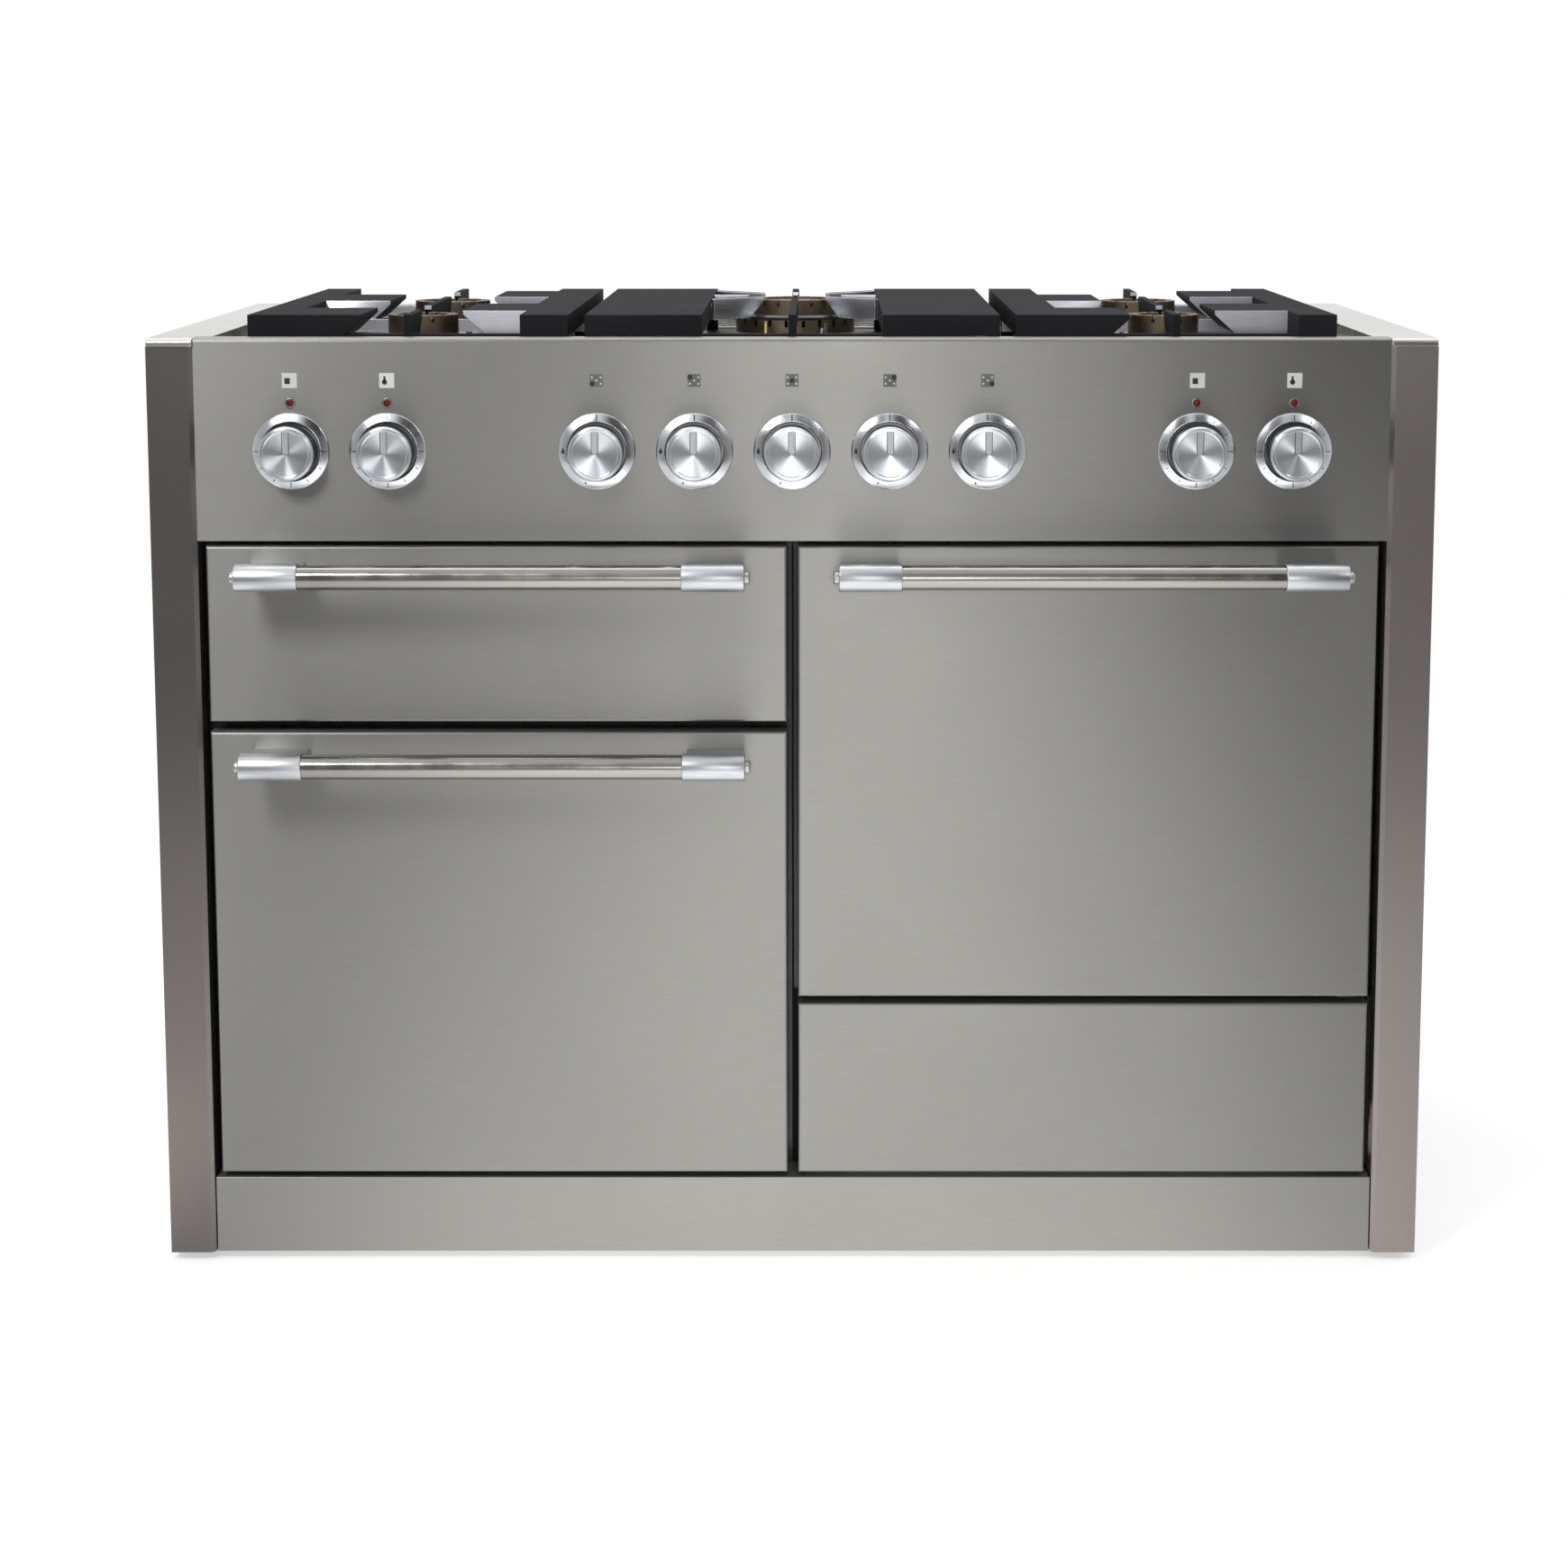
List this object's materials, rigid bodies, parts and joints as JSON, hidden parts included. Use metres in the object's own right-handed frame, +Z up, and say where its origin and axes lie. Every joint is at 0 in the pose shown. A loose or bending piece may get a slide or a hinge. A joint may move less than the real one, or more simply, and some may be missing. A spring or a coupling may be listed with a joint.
{
  "type": "range cooker",
  "caption": "Free-standing stainless steel range cooker with drop-down oven doors, glide-out grill, storage drawer, gas hob and round control knobs.",
  "frame": {"origin": "on the floor under the middle of the overall width and depth", "axes": "+X to the right seen from the front, -Y out of the front, +Z up"},
  "size_m": [1.2, 0.676, 0.91],
  "materials": {
    "frame_steel": "satin black paint",
    "side_steel": "grey satin coated sheet",
    "brushed_steel": "fine horizontal brushing",
    "hob_steel": "bright satin stainless",
    "galvanised_steel": "zinc-coated sheet",
    "motor_steel": "dull coated steel",
    "element_steel": "dark oxidised sheath",
    "gas_pipe": "dull drawn tube",
    "burner_aluminium": "cast, slightly heat-tinted",
    "black_enamel": "matt vitreous enamel",
    "cast_iron": "matt black enamelled casting",
    "oven_enamel": "dark speckled enamel",
    "mineral_wool": "pressed fibre",
    "seal_rubber": "soft matt",
    "chrome_wire": "bright plated wire",
    "handle_chrome": "polished bar with satin ends",
    "bezel_chrome": "polished ring",
    "knob_aluminium": "turned satin face",
    "brass": "machined",
    "switch_plastic": "moulded",
    "foot_plastic": "moulded",
    "lamp_red": "translucent lens"
  },
  "bodies": {
    "cabinet": {"base_frame": "frame_steel", "side_panels": "side_steel", "front_posts": "brushed_steel", "back_panel": "galvanised_steel", "plinth": "brushed_steel", "control_fascia": "brushed_steel", "hob_tray": "hob_steel", "burner_bases": "burner_aluminium", "burner_crowns": "burner_aluminium", "burner_caps": "black_enamel", "oven_liner_left": "oven_enamel", "oven_liner_right": "oven_enamel", "grill_liner": "oven_enamel", "insulation_jackets": "mineral_wool", "door_seals": "seal_rubber", "oven_racks": "chrome_wire", "fan_baffles": "oven_enamel", "fan_motors": "motor_steel", "heating_elements": "element_steel", "runner_channels": "galvanised_steel", "knob_bezels": "bezel_chrome", "oven_switches": "switch_plastic", "indicator_lamps": "lamp_red", "gas_rail": "gas_pipe", "gas_inlet": "brass", "terminal_box": "switch_plastic"},
    "feet": {"levelling_feet": "foot_plastic"},
    "door_left": {"door_left_panel": "brushed_steel", "door_left_liner": "oven_enamel", "door_left_handle": "handle_chrome"},
    "door_right": {"door_right_panel": "brushed_steel", "door_right_liner": "oven_enamel", "door_right_handle": "handle_chrome"},
    "drawer": {"drawer_front": "brushed_steel", "drawer_box": "galvanised_steel"},
    "grill_drawer": {"grill_front": "brushed_steel", "grill_handle": "handle_chrome", "grill_carriage": "galvanised_steel", "grill_pan": "oven_enamel"},
    "grill_runners": {"grill_mid_runners": "galvanised_steel"},
    "support_left": {"pan_support_left": "cast_iron"},
    "support_centre": {"pan_support_centre": "cast_iron"},
    "support_right": {"pan_support_right": "cast_iron"},
    "fan_left": {"oven_fan_left": "galvanised_steel"},
    "fan_right": {"oven_fan_right": "galvanised_steel"},
    "tap_1": {"tap_cone_1": "brass"},
    "gas_control_1": {"gas_knob_1": "knob_aluminium"},
    "tap_2": {"tap_cone_2": "brass"},
    "gas_control_2": {"gas_knob_2": "knob_aluminium"},
    "tap_3": {"tap_cone_3": "brass"},
    "gas_control_3": {"gas_knob_3": "knob_aluminium"},
    "tap_4": {"tap_cone_4": "brass"},
    "gas_control_4": {"gas_knob_4": "knob_aluminium"},
    "tap_5": {"tap_cone_5": "brass"},
    "gas_control_5": {"gas_knob_5": "knob_aluminium"},
    "oven_control_left_function": {"oven_knob_left_function": "knob_aluminium"},
    "oven_control_left_heat": {"oven_knob_left_heat": "knob_aluminium"},
    "oven_control_right_function": {"oven_knob_right_function": "knob_aluminium"},
    "oven_control_right_heat": {"oven_knob_right_heat": "knob_aluminium"}
  },
  "joints": [
    {"name": "door_left_hinge", "type": "hinge", "parent": "cabinet", "child": "door_left", "pos_m": [-0.2775, -0.248, 0.11], "axis": [1, 0, 0], "range_deg": [0, 90]},
    {"name": "door_right_hinge", "type": "hinge", "parent": "cabinet", "child": "door_right", "pos_m": [0.2775, -0.248, 0.284], "axis": [1, 0, 0], "range_deg": [0, 90]},
    {"name": "drawer_slide", "type": "slide", "parent": "cabinet", "child": "drawer", "axis": [0, -1, 0], "range_m": [0, 0.35]},
    {"name": "grill_slide", "type": "slide", "parent": "cabinet", "child": "grill_drawer", "axis": [0, -1, 0], "range_m": [0, 0.3]},
    {"name": "runner_slide", "type": "slide", "parent": "cabinet", "child": "grill_runners", "axis": [0, -1, 0], "range_m": [0, 0.15]},
    {"name": "gas_knob_1_turn", "type": "hinge", "parent": "cabinet", "child": "tap_1", "pos_m": [-0.182, -0.232, 0.7845], "axis": [0, -1, 0], "range_deg": [0, 210]},
    {"name": "gas_knob_1_press", "type": "slide", "parent": "tap_1", "child": "gas_control_1", "axis": [0, 1, 0], "range_m": [0, 0.004], "stiffness_N_per_m": 900},
    {"name": "gas_knob_2_turn", "type": "hinge", "parent": "cabinet", "child": "tap_2", "pos_m": [-0.091, -0.232, 0.7845], "axis": [0, -1, 0], "range_deg": [0, 210]},
    {"name": "gas_knob_2_press", "type": "slide", "parent": "tap_2", "child": "gas_control_2", "axis": [0, 1, 0], "range_m": [0, 0.004], "stiffness_N_per_m": 900},
    {"name": "gas_knob_3_turn", "type": "hinge", "parent": "cabinet", "child": "tap_3", "pos_m": [0, -0.232, 0.7845], "axis": [0, -1, 0], "range_deg": [0, 210]},
    {"name": "gas_knob_3_press", "type": "slide", "parent": "tap_3", "child": "gas_control_3", "axis": [0, 1, 0], "range_m": [0, 0.004], "stiffness_N_per_m": 900},
    {"name": "gas_knob_4_turn", "type": "hinge", "parent": "cabinet", "child": "tap_4", "pos_m": [0.091, -0.232, 0.7845], "axis": [0, -1, 0], "range_deg": [0, 210]},
    {"name": "gas_knob_4_press", "type": "slide", "parent": "tap_4", "child": "gas_control_4", "axis": [0, 1, 0], "range_m": [0, 0.004], "stiffness_N_per_m": 900},
    {"name": "gas_knob_5_turn", "type": "hinge", "parent": "cabinet", "child": "tap_5", "pos_m": [0.182, -0.232, 0.7845], "axis": [0, -1, 0], "range_deg": [0, 210]},
    {"name": "gas_knob_5_press", "type": "slide", "parent": "tap_5", "child": "gas_control_5", "axis": [0, 1, 0], "range_m": [0, 0.004], "stiffness_N_per_m": 900},
    {"name": "oven_knob_left_function_turn", "type": "hinge", "parent": "cabinet", "child": "oven_control_left_function", "pos_m": [-0.4675, -0.2675, 0.7845], "axis": [0, -1, 0], "range_deg": [-270, 0]},
    {"name": "oven_knob_left_heat_turn", "type": "hinge", "parent": "cabinet", "child": "oven_control_left_heat", "pos_m": [-0.377, -0.2675, 0.7845], "axis": [0, -1, 0], "range_deg": [-270, 0]},
    {"name": "oven_knob_right_function_turn", "type": "hinge", "parent": "cabinet", "child": "oven_control_right_function", "pos_m": [0.377, -0.2675, 0.7845], "axis": [0, -1, 0], "range_deg": [-270, 0]},
    {"name": "oven_knob_right_heat_turn", "type": "hinge", "parent": "cabinet", "child": "oven_control_right_heat", "pos_m": [0.4675, -0.2675, 0.7845], "axis": [0, -1, 0], "range_deg": [-270, 0]},
    {"name": "support_left_lift", "type": "slide", "parent": "cabinet", "child": "support_left", "axis": [0, 0, 1], "range_m": [0, 0.06]},
    {"name": "support_centre_lift", "type": "slide", "parent": "cabinet", "child": "support_centre", "axis": [0, 0, 1], "range_m": [0, 0.06]},
    {"name": "support_right_lift", "type": "slide", "parent": "cabinet", "child": "support_right", "axis": [0, 0, 1], "range_m": [0, 0.06]},
    {"name": "fan_left_spin", "type": "hinge", "parent": "cabinet", "child": "fan_left", "pos_m": [-0.2775, 0.21, 0.3175], "axis": [0, 1, 0], "continuous": true},
    {"name": "fan_right_spin", "type": "hinge", "parent": "cabinet", "child": "fan_right", "pos_m": [0.2775, 0.21, 0.4915], "axis": [0, 1, 0], "continuous": true},
    {"name": "feet_level", "type": "slide", "parent": "cabinet", "child": "feet", "axis": [0, 0, -1], "range_m": [0, 0.012]}
  ],
  "couplings": [
    {"joint": "runner_slide", "follows": "grill_slide", "ratio": 0.5}
  ]
}
